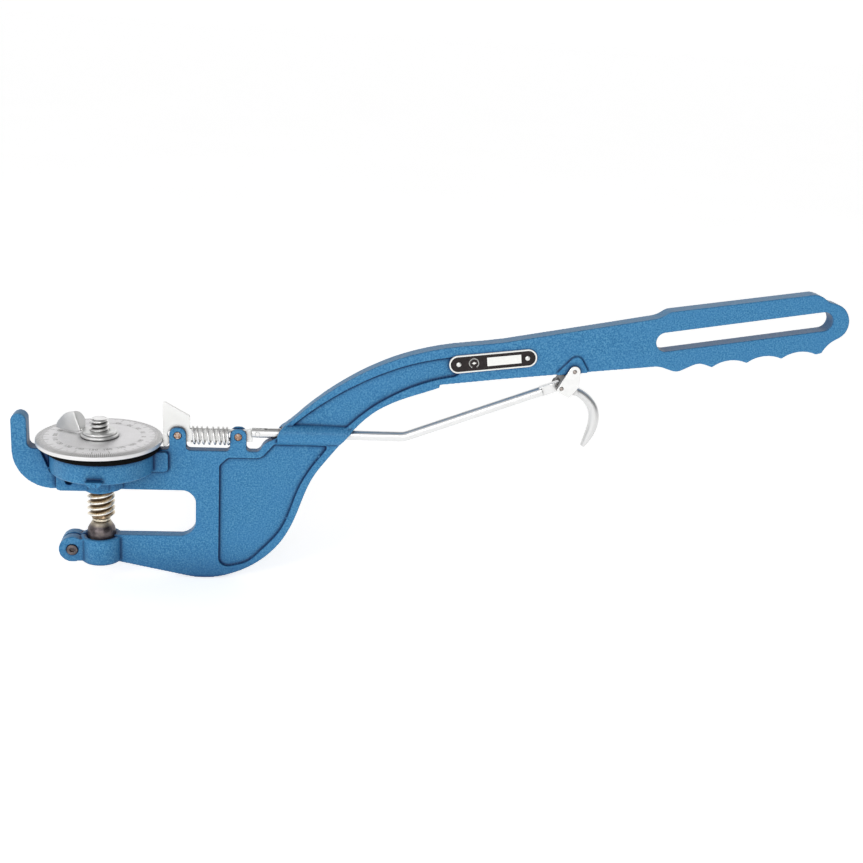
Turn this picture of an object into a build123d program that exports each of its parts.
from build123d import *
import math
import os

# Hand-held lever-handled screw press (arbor press) with an indexed dial.
# Millimetres. Origin: the press point, where the swivel tip meets the anvil,
# on the spindle axis. +X runs towards the grip, +Z up the spindle. The plane
# Y = 0 is the middle plane of the casting. Outlines are drawn as (x, z).

# ---- driving dimensions -------------------------------------------------
DIAL_R = 40.0
DIAL_TOP = 58.6
DIAL_THICK = 3.5
SPINDLE_R = 9.0            # major radius of the two-start screw, 8 mm lead
STUD_R = 6.0               # 12 mm clamping stud above the dial
STUD_TOP = 70.5
RUN = 0.06                 # radial running clearance

WEB_HALF = 4.0             # half thickness of ears, web and lower arm
HOOK_HALF = 5.0
NECK_HALF = 6.0
GRIP_HALF = 6.25
PANEL_DEPTH = 1.8          # recess of the two panels in each face

HOOK_LEFT = -54.6
HOOK_WIDTH = 9.8
HOOK_TOP = 73.6
LEDGE_Z = 50.4             # top of hook ledge, cup and pads
ARM_UNDER = 23.3
THROAT_END = 61.5
LOWER_TOP = -8.9
BELLY_Z = -39.0

CUP_X = 1.8                # the cup sits a little off the spindle axis
CUP_R = 33.5
CUP_INNER_R = 29.5
CUP_BOTTOM = 36.6
CUP_FLOOR = 43.0
HUB_R = 11.2
HUB_BOTTOM = 22.0
HUB_TOP = 46.0
RELIEF_R = 37.6            # clearance cone round the cup, at the ledge
RELIEF_BOTTOM = 34.5
RELIEF_REACH = -10.0       # the cone is cut only to the left of this x
RELIEF_WEB = 2.5           # half thickness left standing in the middle
BLOCK_LEFT = -26.8         # thick block under the cup
BLOCK_RIGHT = 14.5
BLOCK_HALF = 9.0
BLOCK_BEVEL = 4.5          # bevel of its right-hand corners, seen from above
BLIND_HOLE = (-18.7, 30.0, 2.45)
SCREW_BOSS_X = 1.2
SCREW_BOSS_R = 5.6
SCREW_BOSS_Z = 41.7
SCREW_BOSS_FLAT = 40.3     # its flat upper side
SCREW_BOSS_FRONT = -38.0
LOCK_SCREW_Z = 38.0
LOCK_SCREW_R = 1.5
RING_R = 36.2              # dust ring, outside
BUSH_R = HUB_R - 2.0

BOSS_R = 13.2              # split clamp boss of the lower arm
BOSS_TOP = -9.8
BOSS_BOTTOM = -27.6
ANVIL_FOOT = -26.6
LOBE_X = -18.0
LOBE_Z = -18.2
LOBE_R = 8.7
LOBE_HALF = 8.0
SPLIT = 1.6                # width of the clamp's saw cut
CLAMP_SCREW_R = 2.0
CLAMP_HEAD_R = 3.5
HEAD_SEAT = -4.8           # y of the face the screw head bears on

EAR_PIN_X = (49.7, 88.5)
EAR_PIN_Z = 61.2
EAR_PIN_R = 2.5
EAR_HALF_WIDTH = 5.35
EAR_TOP = 66.4
EAR_BASE = 51.3
EAR_FILLET = 2.6
SLIT_HALF = 1.5
BAR_HALF = 1.25            # half thickness of the latch plate
BAR_BOTTOM = 57.4
BAR_TOP = 65.2
BAR_END = 97.8
HEAD_BOTTOM = 56.4
LATCH_EDGE = DIAL_R + 0.1
LATCH_TRAVEL = 4.0
SPRING_WIRE_R = 0.6
SPRING_R = 5.65
SPRING_X0 = 58.1
SPRING_X1 = 82.5
SPRING_Z = 60.8
SPRING_COILS = 8

ROD_R = 3.25
ROD_Z = 63.4
ROD_BEND_X = 197.0
ROD_BEND_R = 14.0
ROD_START = 97.2
EYE_HALF = 2.0             # half thickness of the rod's flattened eye
EYE_REACH = 15.0           # the flat starts this far before the pin
EYE_PLAY = 0.45            # radial play of the trigger's pin in the eye
RIVET_X = 101.0
RIVET_R = 1.5
TUBE_R = 7.5               # bulge that carries the rod through the neck
TUBE_X0 = 113.6
TUBE_X1 = 175.0
ROD_HOLE_R = 4.3

PIVOT = (305.7, 113.9)     # trigger pivot
ROD_PIN = (297.9, 102.2)
PIN_R = 1.3
TRIGGER_LUG_R = 3.6
PAD_HALF = 7.0             # half thickness over the trigger pads
BRACKET_IN = 7.4
BRACKET_OUT = 8.9
WEB_TOP = 110.5            # the bracket's web stays clear of the handle above it
WEB_SLOT_TOP = 106.6       # slot in the web for the rod's eye
WEB_SLOT_HALF = 4.4

SLOT_A = (365.2, 135.4)    # centres of the grip slot's two round ends
SLOT_B = (470.8, 153.2)
SLOT_R = 6.4

GROOVE_PITCH = 23.75       # finger grooves along the grip
GROOVE_DEPTH = 3.2
GROOVE_ANGLE = 9.1
GROOVE_START = (375.1, 115.7)

PLATE_CENTRE = (251.6, 118.6)
PLATE_ANGLE = 7.4
PLATE_LENGTH = 57.7
PLATE_HEIGHT = 11.8
PLATE_THICK = 0.9
PLATE_RIVET_SPAN = 45.2

NUT_BASE = 60.9
NUT_FLANGE = 1.7           # flange thickness
WING_HALF = 0.9            # half thickness of the wing's sheet
WING_FOOT = (-12.2, 1.4, 60.4)      # foot of the fold between blade and cheek
WING_TOP = (-15.9, 2.4, 71.8)
WING_TIP = (-28.8, 10.4, 61.6)      # far point of the blade
WING_CHEEK = (-10.8, 8.6, 67.6)     # far point of the cheek

BOTH = (-1, 1)


# ---- helpers ------------------------------------------------------------
def slab(face, half):
    """An (x, z) outline extruded to both sides of the middle plane."""
    return extrude(Plane.XZ * face, amount=half, both=True)


def layer(face, y_front, y_back):
    """An (x, z) outline extruded from y_front back to y_back."""
    return extrude(Plane.XZ.offset(-y_front) * face, amount=y_front - y_back)


def disc(radius, x, z):
    return Pos(x, z) * Circle(radius)


def cross_pin(radius, x, z, y_front, y_back):
    """A round bar along Y."""
    return layer(disc(radius, x, z), y_front, y_back)


def along_x(radius, x0, x1, z):
    """A round bar along X on the middle plane."""
    face = Plane.YZ.offset(x0) * Pos(0, z) * Circle(radius)
    return extrude(face, amount=x1 - x0)


def upright(radius, z0, z1):
    """A round bar on the spindle axis."""
    return extrude(Plane.XY.offset(z0) * Circle(radius), amount=z1 - z0)


def turned(*profile):
    """A solid of revolution about Z from (radius, z) corners."""
    face = make_face(Polyline(*profile, close=True))
    return revolve(Plane.XZ * face, Axis.Z)


def rounded_box(x0, x1, z0, z1, radius):
    width, height = x1 - x0, z1 - z0
    return Pos((x0 + x1) / 2, (z0 + z1) / 2) * RectangleRounded(width, height, radius)


def hull_face(*circles):
    """The convex outline round several (x, z, r) circles."""
    edges = []
    for x, z, r in circles:
        edges += (Pos(x, z) * Circle(r)).edges()
    return make_face(make_hull(edges))


# ---- casting ------------------------------------------------------------
def hook_face():
    inner = HOOK_LEFT + HOOK_WIDTH
    radius = HOOK_WIDTH / 2
    sweep_r = 25.4
    corner_x = HOOK_LEFT + sweep_r
    corner_z = ARM_UNDER + sweep_r
    diagonal = sweep_r * math.sqrt(0.5)
    top = HOOK_TOP - radius
    fillet = 4.0
    outline = [
        Line((0, ARM_UNDER), (corner_x, ARM_UNDER)),
        ThreePointArc(
            (corner_x, ARM_UNDER),
            (corner_x - diagonal, corner_z - diagonal),
            (HOOK_LEFT, corner_z),
        ),
        Line((HOOK_LEFT, corner_z), (HOOK_LEFT, top)),
        ThreePointArc((HOOK_LEFT, top), (HOOK_LEFT + radius, HOOK_TOP), (inner, top)),
        Line((inner, top), (inner, LEDGE_Z + fillet)),
        ThreePointArc(
            (inner, LEDGE_Z + fillet),
            (inner + fillet * (1 - math.sqrt(0.5)), LEDGE_Z + fillet * (1 - math.sqrt(0.5))),
            (inner + fillet, LEDGE_Z),
        ),
        Line((inner + fillet, LEDGE_Z), (0, LEDGE_Z)),
        Line((0, LEDGE_Z), (0, ARM_UNDER)),
    ]
    return make_face(outline)


def body_face():
    """Web, throat, lower arm, neck and grip as one outline."""
    top_r, low_r = 9.0, 10.5
    bend = 1 - math.sqrt(0.5)
    belly = Spline(
        (50, -36.4), (67, BELLY_Z), (84.5, -36), (104, -26), (118, -11.6), (128, 9.2),
        (137, 33.2), (148.5, 50), (164, 69.4), (190, 89), (218, 99.9), (257, 106.4),
        tangents=[(1, -0.22), (1, 0.13)],
    )
    neck_top = Spline(
        (115, 66), (122.2, 73), (130, 80.2), (143, 91.2), (165.6, 106.2), (190.9, 118),
        (222, 126.3), (259, 131.4),
        tangents=[(0.6, 1), (1, 0.17)],
    )
    outline = [
        Line((0, ARM_UNDER), (THROAT_END - top_r, ARM_UNDER)),
        ThreePointArc(
            (THROAT_END - top_r, ARM_UNDER),
            (THROAT_END - bend * top_r, ARM_UNDER - bend * top_r),
            (THROAT_END, ARM_UNDER - top_r),
        ),
        Line((THROAT_END, ARM_UNDER - top_r), (THROAT_END, LOWER_TOP + low_r)),
        ThreePointArc(
            (THROAT_END, LOWER_TOP + low_r),
            (THROAT_END - bend * low_r, LOWER_TOP + bend * low_r),
            (THROAT_END - low_r, LOWER_TOP),
        ),
        Line((THROAT_END - low_r, LOWER_TOP), (0, LOWER_TOP)),
        Line((0, LOWER_TOP), (0, -25.6)),
        Line((0, -25.6), (50, -36.4)),
        belly,
        Line((257, 106.4), (352, 117.6)),
        *grip_underside(),
        *grip_end(),
        Line((458.2, 170.3), (367.5, 155.8)),
        Spline((367.5, 155.8), (362.6, 153.2), (356.5, 150.6),
               tangents=[(-1, -0.2), (-1, -0.2)]),
        Line((356.5, 150.6), (259, 131.4)),
        neck_top,
        Spline((115, 66), (113.4, 62.8), (111, 60), (107.5, 58.4), (104.2, 55.4),
               (100.6, EAR_BASE), tangents=[(-0.6, -1), (-1, -0.3)]),
        Line((100.6, EAR_BASE), (40, EAR_BASE)),
        Line((40, EAR_BASE), (38, LEDGE_Z)),
        Line((38, LEDGE_Z), (0, LEDGE_Z)),
        Line((0, LEDGE_Z), (0, ARM_UNDER)),
    ]
    return make_face(outline)


def groove_point(step, depth):
    """A point 'step' pitches along the grip and 'depth' above the crest line."""
    angle = math.radians(GROOVE_ANGLE)
    along = step * GROOVE_PITCH
    x = GROOVE_START[0] + along * math.cos(angle) - depth * math.sin(angle)
    z = GROOVE_START[1] + along * math.sin(angle) + depth * math.cos(angle)
    return (x, z)


def grip_underside():
    """Finger grooves: a rounded first crest, then scallops that meet in cusps."""
    lead_in = Spline(
        (352, 117.6), (363.5, 118.4), (370.3, 116.4), GROOVE_START, (380.2, 117.7),
        groove_point(0.5, GROOVE_DEPTH), groove_point(1, 0.0),
        tangents=[(1, 0.1), (1, -0.35)],
    )
    scallops = [
        ThreePointArc(groove_point(step, 0.0), groove_point(step + 0.47, GROOVE_DEPTH),
                      groove_point(step + 1, 0.0))
        for step in (1, 2, 3)
    ]
    return [lead_in, *scallops]


def grip_end():
    """The butt: last cusp, round nose between two dips, then the top corner."""
    corner = (472.6, 131.8)
    points = [
        corner, (475.2, 136.2), (479, 140), (484.8, 143.8), (488.4, 152.2), (486.6, 158.8),
        (481.6, 163.9), (476.8, 165.4), (471.8, 166.8), (467.3, 169.8), (462.6, 170.9),
        (458.2, 170.3),
    ]
    return [Line(groove_point(4, 0.0), corner), Spline(*points, tangents=[(0.4, 1), (-1, -0.16)])]


def ear_face(x):
    """A round-topped lug with a fillet at each side of its foot."""
    lug = rounded_box(x - EAR_HALF_WIDTH, x + EAR_HALF_WIDTH, EAR_BASE - 8, EAR_TOP, 4.6)
    reach = EAR_HALF_WIDTH + EAR_FILLET
    foot = rounded_box(x - reach, x + reach, EAR_BASE - 2, EAR_BASE + EAR_FILLET, 0.01)
    for side in BOTH:
        foot -= disc(EAR_FILLET, x + side * reach, EAR_BASE + EAR_FILLET)
    return lug + foot


def thickness_envelope(inset=0.0):
    """The casting's thickness seen from above, less 'inset' on each face."""
    stations = [
        (-70, HOOK_HALF), (-30, HOOK_HALF), (-20, WEB_HALF), (122, WEB_HALF),
        (200, NECK_HALF), (330, NECK_HALF), (365, GRIP_HALF), (500, GRIP_HALF),
    ]
    front = [(x, inset - half) for x, half in stations]
    back = [(x, half - inset) for x, half in reversed(stations)]
    face = make_face(Polyline(*front, *back, close=True))
    return extrude(Plane.XY.offset(-60) * face, amount=260)


def body_panel():
    """Recess in the web, round the belly's curve."""
    side = Spline((91, -28.9), (104, -19.4), (117, -4), (129, 27.5), (137, 42), (146, 54.6),
                  tangents=[(1, 0.25), (0.7, 1)])
    outline = [
        Line((76.5, 40.8), (76.5, -24)),
        Spline((76.5, -24), (80.5, -30.2), (91, -28.9), tangents=[(0, -1), (1, 0.25)]),
        side,
        Line((146, 54.6), (146, 57)),
        Line((146, 57), (112, 57)),
        Spline((112, 57), (106.4, 50.4), (100.5, 47), tangents=[(-0.7, -0.8), (-1, 0)]),
        Line((100.5, 47), (83.4, 47)),
        Spline((83.4, 47), (80.6, 45.4), (76.5, 40.8), tangents=[(-1, -0.2), (-0.5, -1)]),
    ]
    return make_face(outline)


def neck_panel():
    """Recess in the neck, fading out under the name plate."""
    outline = [
        Spline((121.4, 68.4), (146.5, 88.6), (172, 103.6), (198, 114.2), (226, 120.4),
               tangents=[(1, 0.95), (1, 0.16)]),
        ThreePointArc((226, 120.4), (231.4, 113.4), (226, 106.9)),
        Spline((226, 106.9), (212, 103.6), (190, 94.2), (172, 82.4), (157, 68.4),
               tangents=[(-1, -0.16), (-1, -1)]),
        Line((157, 68.4), (121.4, 68.4)),
    ]
    return make_face(outline)


def cup():
    """Shallow round cup under the dial, with the top of the hub inside it."""
    edge = 1.0
    bowl = turned(
        (0, CUP_BOTTOM), (CUP_R - edge, CUP_BOTTOM), (CUP_R, CUP_BOTTOM + edge),
        (CUP_R, LEDGE_Z), (CUP_INNER_R, LEDGE_Z), (CUP_INNER_R, CUP_FLOOR), (0, CUP_FLOOR),
    )
    return Pos(CUP_X, 0, 0) * bowl + upright(HUB_R + 2.0, CUP_FLOOR - 1, HUB_TOP)


def cup_relief():
    """Conical clearance cut into both faces of the arm, left of the cup."""
    foot = CUP_R - CUP_X - 0.5
    cone = turned(
        (0, RELIEF_BOTTOM), (foot, RELIEF_BOTTOM), (RELIEF_R, LEDGE_Z),
        (RELIEF_R, LEDGE_Z + 2), (0, LEDGE_Z + 2),
    )
    right_of_reach = Pos(RELIEF_REACH + 50, 0, RELIEF_BOTTOM) * Box(100, 100, 60)
    middle = Box(200, 2 * RELIEF_WEB, 200)
    return cone - right_of_reach - middle


def hub():
    """Hub, the thick block under the cup and the flat-topped screw boss."""
    hub_skirt = turned(
        (0, HUB_BOTTOM), (HUB_R - 1, HUB_BOTTOM), (HUB_R, HUB_BOTTOM + 1),
        (HUB_R, CUP_BOTTOM + 1), (0, CUP_BOTTOM + 1),
    )
    block_face = rounded_box(BLOCK_LEFT, BLOCK_RIGHT, ARM_UNDER + 0.2, CUP_BOTTOM + 3, 2.0)
    block = slab(block_face, BLOCK_HALF)
    side = BLOCK_BEVEL * math.sqrt(2)
    for end in BOTH:
        block -= Pos(BLOCK_RIGHT, end * BLOCK_HALF, HUB_BOTTOM) * Rot(0, 0, 45) * Box(side, side, 60)
    boss_face = disc(SCREW_BOSS_R, SCREW_BOSS_X, SCREW_BOSS_Z)
    above = SCREW_BOSS_FLAT + SCREW_BOSS_R
    boss_face -= Pos(SCREW_BOSS_X, above) * Rectangle(3 * SCREW_BOSS_R, 2 * SCREW_BOSS_R)
    return hub_skirt + block + layer(boss_face, SCREW_BOSS_FRONT, -8)


def clamp_boss():
    """Split boss of the lower arm with the cross screw's lobe beside it."""
    boss = turned(
        (0, BOSS_BOTTOM), (BOSS_R - 0.8, BOSS_BOTTOM), (BOSS_R, BOSS_BOTTOM + 0.8),
        (BOSS_R, BOSS_TOP - 0.6), (BOSS_R - 0.6, BOSS_TOP), (0, BOSS_TOP),
    )
    lobe = slab(disc(LOBE_R, LOBE_X, LOBE_Z), LOBE_HALF)
    tie = slab(rounded_box(LOBE_X, 0, LOBE_Z - LOBE_R + 0.6, BOSS_TOP - 1.2, 0.5), LOBE_HALF)
    return boss + lobe + tie


def clamp_cuts():
    bore = upright(SPINDLE_R + RUN, BOSS_BOTTOM - 1, BOSS_TOP + 1)
    mouth = turned(
        (0, BOSS_TOP + 0.1), (SPINDLE_R + 1.7, BOSS_TOP + 0.1),
        (SPINDLE_R, BOSS_TOP - 1.6), (0, BOSS_TOP - 1.6),
    )
    split = slab(rounded_box(LOBE_X - 12, -4, BOSS_BOTTOM - 2, BOSS_TOP + 2, 0.2), SPLIT / 2)
    screw = cross_pin(CLAMP_SCREW_R + RUN, LOBE_X, LOBE_Z, -12, 6)
    head = cross_pin(CLAMP_HEAD_R + 0.2, LOBE_X, LOBE_Z, -12, HEAD_SEAT)
    return bore + mouth + split + screw + head


def trigger_pad_face():
    return hull_face((306.8, 119.1, 4.2), (295.4, 111.6, 0.9), (314.0, 113.8, 0.9))


def frame_casting():
    outline = hook_face() + body_face()
    for x in EAR_PIN_X:
        outline += ear_face(x)
    solid = slab(outline, 8) & thickness_envelope()
    shaved = thickness_envelope(PANEL_DEPTH)
    solid -= slab(body_panel(), 8) - shaved
    solid -= slab(neck_panel(), 8) - shaved

    solid -= cup_relief()
    solid -= Pos(CUP_X, 0, 0) * upright(CUP_INNER_R + 1, CUP_FLOOR - 1, LEDGE_Z + 5)
    solid += cup() + hub() + clamp_boss()
    solid += slab(rounded_box(26, 43.8, CUP_BOTTOM + 0.4, LEDGE_Z, 2.4), 6.6)
    solid += along_x(TUBE_R, TUBE_X0, TUBE_X1, ROD_Z) & slab(body_face(), 12)
    pad = slab(trigger_pad_face() + disc(TRIGGER_LUG_R, *PIVOT), PAD_HALF)
    solid += pad

    solid -= clamp_cuts()
    solid -= upright(BUSH_R, HUB_BOTTOM + 1.2, HUB_TOP + 1)
    solid -= upright(SPINDLE_R + 0.3, HUB_BOTTOM - 1, HUB_BOTTOM + 2)
    solid -= cross_pin(LOCK_SCREW_R, SCREW_BOSS_X, LOCK_SCREW_Z, SCREW_BOSS_FRONT - 1, -8)
    hole_x, hole_z, hole_r = BLIND_HOLE
    solid -= cross_pin(hole_r, hole_x, hole_z, -BLOCK_HALF - 1, -1)
    for x in EAR_PIN_X:
        reach = EAR_HALF_WIDTH + 1.5
        solid -= slab(rounded_box(x - reach, x + reach, 52.3, EAR_TOP + 4, 0.8), SLIT_HALF)
        solid -= cross_pin(EAR_PIN_R, x, EAR_PIN_Z, -10, 10)
    solid -= along_x(ROD_HOLE_R, TUBE_X0 - 12, TUBE_X1 + 15, ROD_Z)
    solid -= cross_pin(PIN_R + RUN, *PIVOT, -10, 10)
    slot = hull_face((*SLOT_A, SLOT_R), (*SLOT_B, SLOT_R))
    solid -= slab(slot, 10)
    for x, z in plate_rivets():
        solid -= cross_pin(1.2, x, z, -10, -NECK_HALF + 4)
    return solid


# ---- press spindle, dial and anvil --------------------------------------
def nut_bush():
    """Bronze threaded bush; the thread is a plain bore at the major radius."""
    blank = upright(BUSH_R, HUB_BOTTOM + 1.2, HUB_TOP)
    collar = upright(HUB_R + 1.4, HUB_TOP, HUB_TOP + 1.6)
    return blank + collar - upright(SPINDLE_R + RUN, HUB_BOTTOM, HUB_TOP + 3)


def bush_lock_screw():
    """Screw that locks the bush, painted over at its outer end."""
    tip = -BUSH_R - 0.1
    return cross_pin(LOCK_SCREW_R, SCREW_BOSS_X, LOCK_SCREW_Z, SCREW_BOSS_FRONT + 0.1, tip)


def spindle():
    """Screw, dial shoulder and clamping stud in one turned piece."""
    shoulder_z = DIAL_TOP - DIAL_THICK
    body = turned(
        (0, 2.8), (6.2, 2.8), (SPINDLE_R, 5.2), (SPINDLE_R, 50.2), (12.5, 50.2),
        (13, 50.8), (13, shoulder_z), (STUD_R, shoulder_z), (STUD_R, STUD_TOP - 1),
        (STUD_R - 1, STUD_TOP), (0, STUD_TOP),
    )
    return body - upright(2.5 + RUN, 0, 13.0)


def pressure_tip():
    """Swivel tip: the disc that presses, and its stem up the spindle's bore."""
    return turned(
        (0, 0.05), (5.2, 0.05), (5.8, 0.65), (5.8, 2.7), (2.5, 2.7), (2.5, 7.4),
        (1.7, 7.4), (1.7, 8.8), (2.5, 8.8), (2.5, 12.0), (2.0, 12.5), (0, 12.5),
    )


def tip_retaining_ring():
    """Wire ring in the stem's groove that keeps the tip in the spindle."""
    ring = Plane.XZ * Pos(2.05, 8.1) * Circle(0.33)
    return revolve(ring, Axis.Z, 320)


def anvil_stud():
    """Hardened anvil with a coned top."""
    return turned(
        (0, 0), (5.6, 0), (6.0, -0.35), (SPINDLE_R, -5.8), (SPINDLE_R, ANVIL_FOOT + 1),
        (SPINDLE_R - 1, ANVIL_FOOT), (0, ANVIL_FOOT),
    )


def dial_disc():
    """Graduated disc with a bevelled rim, clamped between shoulder and nut."""
    bottom = DIAL_TOP - DIAL_THICK
    return turned(
        (STUD_R + RUN, bottom), (DIAL_R - 0.3, bottom), (DIAL_R, bottom + 0.3),
        (DIAL_R, DIAL_TOP - 1.5), (DIAL_R - 3.2, DIAL_TOP), (STUD_R + RUN, DIAL_TOP),
    )


def dust_ring():
    """Rubber wiper ring on the cup's rim, just under the dial."""
    top = DIAL_TOP - DIAL_THICK - 0.5
    return Pos(CUP_X, 0, 0) * turned(
        (CUP_INNER_R, LEDGE_Z), (RING_R - 0.6, LEDGE_Z), (RING_R, LEDGE_Z + 0.6),
        (RING_R, top - 0.6), (RING_R - 0.6, top), (CUP_INNER_R + 1.5, top), (CUP_INNER_R, top - 1.5),
    )


def nut_washer():
    """Captive washer under the wing nut: the lower step of its flange."""
    return turned(
        (STUD_R + RUN, DIAL_TOP + 0.02), (11.9, DIAL_TOP + 0.02), (11.9, NUT_BASE - 0.6),
        (11.3, NUT_BASE - 0.05), (STUD_R + RUN, NUT_BASE - 0.05),
    )


def wing_nut():
    """Clamping nut: a flange with one folded wing, a broad blade and a short cheek."""
    flange = turned(
        (STUD_R + RUN, NUT_BASE), (10.9, NUT_BASE), (10.9, NUT_BASE + NUT_FLANGE - 0.5),
        (10.3, NUT_BASE + NUT_FLANGE), (STUD_R + RUN, NUT_BASE + NUT_FLANGE),
    )
    tab_face = make_face(Polyline((-9.6, 0.6), (-12.6, 1.2), (-11, 5.8), (-8.6, 6), close=True))
    tab = extrude(Plane.XY.offset(NUT_BASE) * tab_face, amount=NUT_FLANGE)
    low, high = 0.9, 13.9
    blade_face = make_face([
        Line((0, low), (0, high)),
        Spline((0, high), (2.4, 14.3), (6.5, 13.9), (11.1, 11.9), (14.8, 9.7), (17.5, 7)),
        Polyline((17.5, 7), (17.6, 6), (15.4, 4.7), (8.1, 1.9), (1.7, 0.3), (0, low)),
    ])
    cheek_face = make_face([
        Line((0, low), (0, high)),
        Spline((0, high), (2.2, 13.6), (4, 12.6), (5.6, 11), (6.7, 8.8), (7.2, 6.6)),
        Polyline((7.2, 6.6), (6.4, 3.8), (4.4, 1.4), (0, low)),
    ])
    blade = extrude(leaf_plane(WING_TIP) * blade_face, amount=WING_HALF, both=True)
    cheek = extrude(leaf_plane(WING_CHEEK) * cheek_face, amount=WING_HALF, both=True)
    foot = Vector(*WING_FOOT)
    fold_plane = Plane(origin=foot, z_dir=Vector(*WING_TOP) - foot).offset(low)
    fold = extrude(fold_plane * Circle(WING_HALF), amount=high - low)
    return flange + tab + fold + blade + cheek


def leaf_plane(target):
    """The plane through the fold and 'target', drawn from the foot of the fold."""
    foot = Vector(*WING_FOOT)
    up = (Vector(*WING_TOP) - foot).normalized()
    reach = Vector(*target) - foot
    across = (reach - up * reach.dot(up)).normalized()
    return Plane(origin=foot, x_dir=across, z_dir=across.cross(up))


def clamp_screw():
    """Socket cap screw across the split, threaded into the rear half."""
    under = HEAD_SEAT - 0.05
    top = HEAD_SEAT - 4.0
    head = cross_pin(CLAMP_HEAD_R, LOBE_X, LOBE_Z, top, under)
    shank = cross_pin(CLAMP_SCREW_R, LOBE_X, LOBE_Z, under, 5.6)
    socket = layer(Pos(LOBE_X, LOBE_Z) * RegularPolygon(1.75, 6), top - 0.1, top + 2.2)
    return head + shank - socket


# ---- latch, rod and trigger ---------------------------------------------
def latch_plate():
    """Latch head with its sloped top, and the guide bar behind it."""
    shoulder = 57.4
    head = make_face([
        Line((LATCH_EDGE, 53.6), (LATCH_EDGE, 81.2)),
        ThreePointArc((LATCH_EDGE, 81.2), (40.9, 82.6), (42.2, 82.6)),
        Line((42.2, 82.6), (56.4, 74.4)),
        ThreePointArc((56.4, 74.4), (57.2, 73.8), (shoulder, 72.8)),
        Line((shoulder, 72.8), (shoulder, HEAD_BOTTOM)),
        Line((shoulder, HEAD_BOTTOM), (46.4, HEAD_BOTTOM)),
        Spline((46.4, HEAD_BOTTOM), (43.4, 54.2), (41.2, 52.8), tangents=[(-1, -0.2), (-1, 0)]),
        ThreePointArc((41.2, 52.8), (40.55, 53.0), (LATCH_EDGE, 53.6)),
    ])
    bar = rounded_box(50, BAR_END, BAR_BOTTOM, BAR_TOP, 0.4)
    tongue = rounded_box(95, 105.6, ROD_Z - 2.5, ROD_Z + 2.5, 1.0)
    plate = slab(head + bar + tongue, BAR_HALF)
    for x in EAR_PIN_X:
        stop = 0.1
        slot = rounded_box(
            x - EAR_PIN_R - LATCH_TRAVEL - stop, x + EAR_PIN_R + stop,
            EAR_PIN_Z - EAR_PIN_R - stop, EAR_PIN_Z + EAR_PIN_R + stop, 2.5,
        )
        plate -= slab(slot, 3)
    return plate - cross_pin(RIVET_R + RUN, RIVET_X, ROD_Z, -5, 5)


def ear_pins():
    pins = [cross_pin(EAR_PIN_R, x, EAR_PIN_Z, -WEB_HALF - 0.1, WEB_HALF + 0.1)
            for x in EAR_PIN_X]
    return Compound(children=pins)


def latch_spring():
    """Compression spring round the guide bar."""
    length = SPRING_X1 - SPRING_X0
    path = Helix(pitch=length / SPRING_COILS, height=length, radius=SPRING_R)
    wire_plane = Plane(origin=path @ 0, z_dir=path % 0)
    coil = sweep(wire_plane * Circle(SPRING_WIRE_R), path=path, is_frenet=True)
    return Pos(SPRING_X0, 0, SPRING_Z) * Rot(0, 90, 0) * coil


def pull_rod():
    """Round rod: forked left end, one bend, flattened eye at the trigger."""
    slope = math.atan2(ROD_PIN[1] - ROD_Z, ROD_PIN[0] - ROD_BEND_X)
    start = (ROD_START, 0, ROD_Z)
    corner = (ROD_BEND_X, 0, ROD_Z)
    round_end = EYE_REACH - 3
    end = (ROD_PIN[0] - round_end * math.cos(slope), 0, ROD_PIN[1] - round_end * math.sin(slope))
    path = FilletPolyline(start, corner, end, radius=ROD_BEND_R)
    rod = sweep(Plane.YZ.offset(ROD_START) * Pos(0, ROD_Z) * Circle(ROD_R), path=path)
    flat = RectangleRounded(EYE_REACH + ROD_R, 2 * ROD_R, ROD_R - 0.05)
    eye = Rot(0, 0, math.degrees(slope)) * Pos((ROD_R - EYE_REACH) / 2, 0) * flat
    rod += slab(Pos(*ROD_PIN) * eye, EYE_HALF)
    rod -= slab(rounded_box(90, 107.2, ROD_Z - 6, ROD_Z + 6, 0.5), BAR_HALF + 0.15)
    rod -= cross_pin(RIVET_R, RIVET_X, ROD_Z, -6, 6)
    return rod - cross_pin(PIN_R + EYE_PLAY, *ROD_PIN, -9, 9)


def rod_rivet():
    return cross_pin(RIVET_R, RIVET_X, ROD_Z, -ROD_R + 0.1, ROD_R - 0.1)


def rod_bush():
    """Bronze bush at the rod's entry into the neck."""
    return along_x(ROD_HOLE_R, TUBE_X0 + 2.5, 124, ROD_Z) - along_x(ROD_R + 0.3, 100, 130, ROD_Z)


def bracket_face():
    return hull_face((*PIVOT, 3.7), (296.4, 101, 1.5), (303, 97.4, 1.3), (308.4, 104.2, 1.2))


def trigger_bracket():
    """U-shaped sheet bracket astride the handle, its web towards the rod."""
    face = bracket_face()
    solid = slab(face, BRACKET_OUT) - slab(face, BRACKET_IN)
    web_face = face - Pos(1.5, -0.3) * face
    web_face = web_face & rounded_box(290, 301.6, 99.6, WEB_TOP, 0.3)
    solid += slab(web_face, BRACKET_OUT)
    solid -= slab(rounded_box(285, 304, 92, WEB_SLOT_TOP, 0.5), WEB_SLOT_HALF)
    solid -= cross_pin(PIN_R, *PIVOT, -10, 10)
    return solid - cross_pin(PIN_R, *ROD_PIN, -10, 10)


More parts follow.
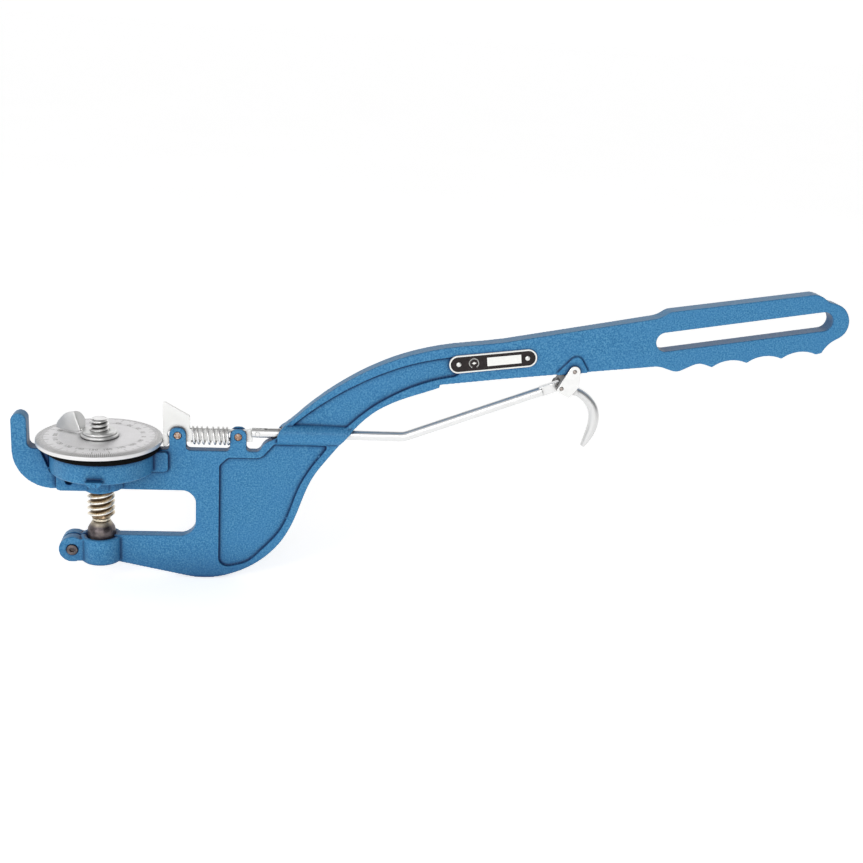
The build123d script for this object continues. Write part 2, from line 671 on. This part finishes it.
def finger_lever():
    """Curved finger lever of oval section, brazed between the bracket's plates."""
    path = Spline(
        (307.4, 0, 99.4), (313.6, 0, 96.5), (318.8, 0, 92.2), (322.4, 0, 86.6),
        (323.7, 0, 79.4), (322.2, 0, 70.6), (317.7, 0, 60.2),
    )
    stations = [(0, 2.7, 3.3), (0.3, 3.2, 3.6), (0.6, 3.5, 3.8), (0.85, 2.8, 3.3), (1, 1.3, 2)]
    sections = []
    for along, half_width, half_depth in stations:
        across = Plane(origin=path @ along, x_dir=(0, 1, 0), z_dir=path % along)
        sections.append(across * Ellipse(half_depth, half_width))
    blade = sweep(sections, path=path, multisection=True)
    root = hull_face((304.6, 99.6, 1.6), (304.6, 104.2, 1.4), (307, 103, 1.2), (308.2, 98.8, 1.6))
    return blade + slab(root, BRACKET_IN)


def trigger_pivot_pin():
    return cross_pin(PIN_R, *PIVOT, -BRACKET_OUT - 0.5, BRACKET_OUT + 0.3)


def rod_pin():
    return cross_pin(PIN_R, *ROD_PIN, -BRACKET_OUT - 0.5, BRACKET_OUT + 0.3)


def pin_clips():
    """Push-on clips on the rear ends of the two trigger pins."""
    clips = []
    for x, z in (PIVOT, ROD_PIN):
        ring = disc(3.0, x, z) - disc(PIN_R, x, z)
        clips.append(layer(ring, BRACKET_OUT, BRACKET_OUT + 0.6))
    return Compound(children=clips)


# ---- name plate ---------------------------------------------------------
def plate_rivets():
    """The two rivet centres on the plate's long axis."""
    angle = math.radians(PLATE_ANGLE)
    reach = PLATE_RIVET_SPAN / 2
    return [(PLATE_CENTRE[0] + s * reach * math.cos(angle),
             PLATE_CENTRE[1] + s * reach * math.sin(angle)) for s in BOTH]


def name_plate():
    shape = SlotOverall(PLATE_LENGTH, PLATE_HEIGHT)
    face = Pos(*PLATE_CENTRE) * Rot(0, 0, PLATE_ANGLE) * shape
    plate = layer(face, -NECK_HALF - PLATE_THICK, -NECK_HALF)
    for x, z in plate_rivets():
        plate -= cross_pin(1.2, x, z, -10, 0)
    return plate


def name_plate_rivets():
    rivets = []
    for x, z in plate_rivets():
        top = -NECK_HALF - PLATE_THICK
        rivet = cross_pin(1.2, x, z, top, -NECK_HALF + 3) + cross_pin(1.7, x, z, top - 0.5, top)
        rivets.append(rivet)
    return Compound(children=rivets)


# ---- write one STEP per piece -------------------------------------------
PIECES = {
    "frame_casting": frame_casting,
    "nut_bush": nut_bush,
    "bush_lock_screw": bush_lock_screw,
    "dust_ring": dust_ring,
    "spindle": spindle,
    "pressure_tip": pressure_tip,
    "tip_retaining_ring": tip_retaining_ring,
    "dial_disc": dial_disc,
    "nut_washer": nut_washer,
    "wing_nut": wing_nut,
    "anvil_stud": anvil_stud,
    "clamp_screw": clamp_screw,
    "latch_plate": latch_plate,
    "latch_spring": latch_spring,
    "ear_pins": ear_pins,
    "pull_rod": pull_rod,
    "rod_rivet": rod_rivet,
    "rod_bush": rod_bush,
    "trigger_bracket": trigger_bracket,
    "finger_lever": finger_lever,
    "trigger_pivot_pin": trigger_pivot_pin,
    "rod_pin": rod_pin,
    "pin_clips": pin_clips,
    "name_plate": name_plate,
    "name_plate_rivets": name_plate_rivets,
}

os.makedirs("parts", exist_ok=True)
for node, make in PIECES.items():
    export_step(make(), f"parts/{node}.step")
